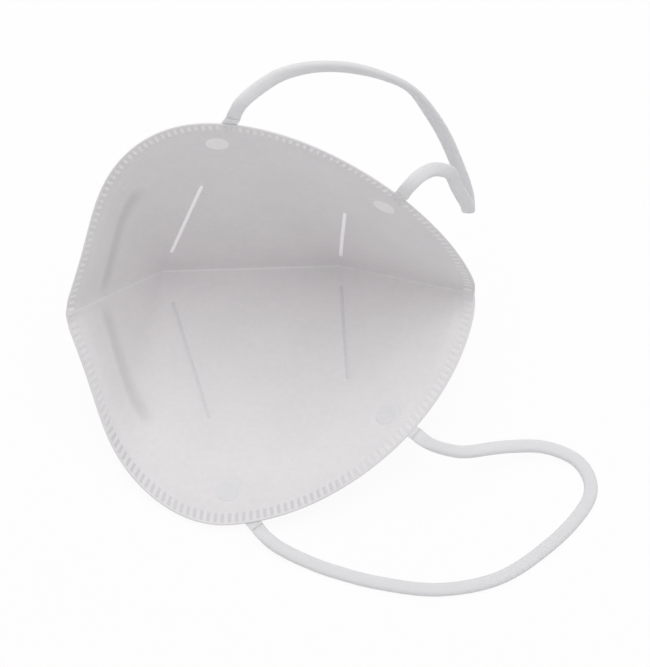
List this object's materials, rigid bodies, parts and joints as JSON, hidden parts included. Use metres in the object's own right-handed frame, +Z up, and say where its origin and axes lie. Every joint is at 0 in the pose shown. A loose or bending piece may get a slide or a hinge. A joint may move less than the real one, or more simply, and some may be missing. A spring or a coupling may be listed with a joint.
{
  "type": "fold-flat dust mask",
  "caption": "White fold-flat dust mask lying open on one cheek, with welded nose and chin seams, a dashed edge weld, a nose strip and elastic ear loops.",
  "frame": {"origin": "below the middle of the mask's box without the ear loops, on the surface that it lies on", "axes": "+X along the front fold from nose to chin, +Z up, the left cheek lying flat towards -Y with its inside up"},
  "size_m": [0.1868, 0.1462, 0.1215],
  "materials": {
    "cover": "soft white spunbond",
    "cotton": "fluffy hot-air cotton",
    "filter": "fine melt-blown web",
    "lining": "smooth white spunbond",
    "fused": "fused polypropylene",
    "loop": "knitted elastic band",
    "nose_clip": "soft aluminium strip"
  },
  "bodies": {
    "cheek_left": {"cheek_cover_left": "cover", "cheek_cotton_left": "cotton", "cheek_filter_left": "filter", "cheek_lining_left": "lining", "cheek_rim_left": "fused", "cheek_rib_left": "fused", "cheek_spot_left": "fused", "cheek_tab_left": "loop", "loop_left": "loop"},
    "cheek_right": {"cheek_cover_right": "cover", "cheek_cotton_right": "cotton", "cheek_filter_right": "filter", "cheek_lining_right": "lining", "cheek_rim_right": "fused", "cheek_rib_right": "fused", "cheek_spot_right": "fused", "cheek_tab_right": "loop", "loop_right": "loop"},
    "nose_left": {"nose_cover_left": "cover", "nose_cotton_left": "cotton", "nose_filter_left": "filter", "nose_lining_left": "lining", "nose_rim_left": "fused", "nose_clip_left": "nose_clip"},
    "nose_right": {"nose_cover_right": "cover", "nose_cotton_right": "cotton", "nose_filter_right": "filter", "nose_lining_right": "lining", "nose_rim_right": "fused", "nose_clip_right": "nose_clip"},
    "chin_left": {"chin_cover_left": "cover", "chin_cotton_left": "cotton", "chin_filter_left": "filter", "chin_lining_left": "lining", "chin_rim_left": "fused", "chin_rib_left": "fused", "chin_spot_left": "fused", "chin_tab_left": "loop"},
    "chin_right": {"chin_cover_right": "cover", "chin_cotton_right": "cotton", "chin_filter_right": "filter", "chin_lining_right": "lining", "chin_rim_right": "fused", "chin_rib_right": "fused", "chin_spot_right": "fused", "chin_tab_right": "loop"},
    "nose_fin": {"nose_seam": "fused"},
    "chin_fin": {"chin_seam": "fused"}
  },
  "joints": [
    {"name": "front_fold", "type": "hinge", "parent": "cheek_left", "child": "cheek_right", "pos_m": [-0.00537, 0.05159, 0.0023], "axis": [1, 0, 0], "range_deg": [0, 58]},
    {"name": "nose_crease_left", "type": "hinge", "parent": "cheek_left", "child": "nose_left", "pos_m": [-0.03737, 0.05159, 0.0023], "axis": [-0.0349, -0.9994, 0], "range_deg": [0, 38]},
    {"name": "nose_crease_right", "type": "hinge", "parent": "cheek_right", "child": "nose_right", "pos_m": [-0.03737, 0.05159, 0.0023], "axis": [0.0349, 0.0349, -0.9988], "range_deg": [0, 38]},
    {"name": "chin_crease_left", "type": "hinge", "parent": "cheek_left", "child": "chin_left", "pos_m": [0.02663, 0.05159, 0.0023], "axis": [0.1179, 0.9909, -0.0645], "range_deg": [0, 24]},
    {"name": "chin_crease_right", "type": "hinge", "parent": "cheek_right", "child": "chin_right", "pos_m": [0.02663, 0.05159, 0.0023], "axis": [-0.1179, -0.099, 0.9881], "range_deg": [0, 24]},
    {"name": "nose_seam_bend", "type": "hinge", "parent": "nose_left", "child": "nose_fin", "pos_m": [-0.03737, 0.05159, 0.0023], "axis": [0.5433, 0.6039, -0.5832], "range_deg": [0, 43.5]},
    {"name": "chin_seam_bend", "type": "hinge", "parent": "chin_left", "child": "chin_fin", "pos_m": [0.02663, 0.05159, 0.0023], "axis": [0.7313, -0.4906, 0.4738], "range_deg": [0, 34]}
  ],
  "couplings": [
    {"joint": "nose_crease_left", "follows": "front_fold", "ratio": 0.65},
    {"joint": "nose_crease_right", "follows": "front_fold", "ratio": 0.65},
    {"joint": "chin_crease_left", "follows": "front_fold", "ratio": 0.41},
    {"joint": "chin_crease_right", "follows": "front_fold", "ratio": 0.41},
    {"joint": "nose_seam_bend", "follows": "front_fold", "ratio": 0.745},
    {"joint": "chin_seam_bend", "follows": "front_fold", "ratio": 0.577}
  ]
}
